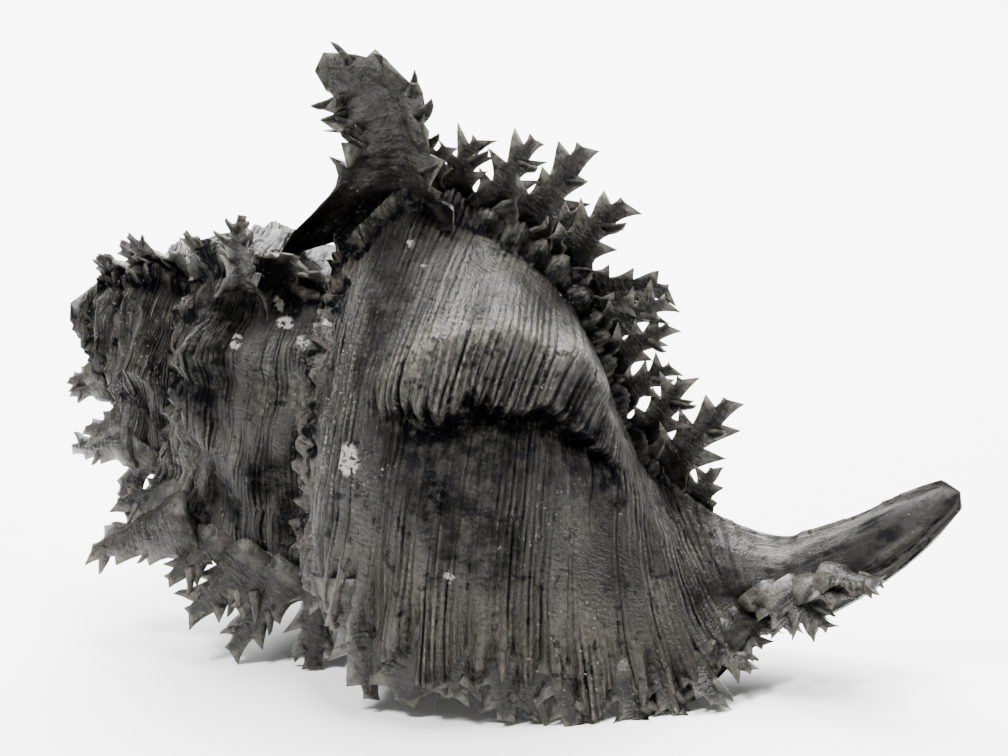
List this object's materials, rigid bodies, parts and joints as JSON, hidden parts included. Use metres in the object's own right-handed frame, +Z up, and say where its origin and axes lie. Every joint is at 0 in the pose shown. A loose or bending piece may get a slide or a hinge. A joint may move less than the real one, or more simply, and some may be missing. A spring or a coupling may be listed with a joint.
{
  "type": "murex shell",
  "caption": "Large spiny murex sea shell with a knobbed spire, rows of leafy fronds, a hollow aperture and an upturned canal, lying on its aperture side.",
  "frame": {"origin": "centre of the bounding box in plan, on the ground the shell lies on", "axes": "+Z up; +X along the shell's long way, from the spire towards the tip of the siphonal canal; -Y is the side with the outer lip nearest the viewer"},
  "size_m": [0.2184, 0.152, 0.1542],
  "materials": {
    "shell": "satin, weathered charcoal grey-brown"
  },
  "bodies": {
    "root": {"shell": "shell"}
  },
  "joints": []
}
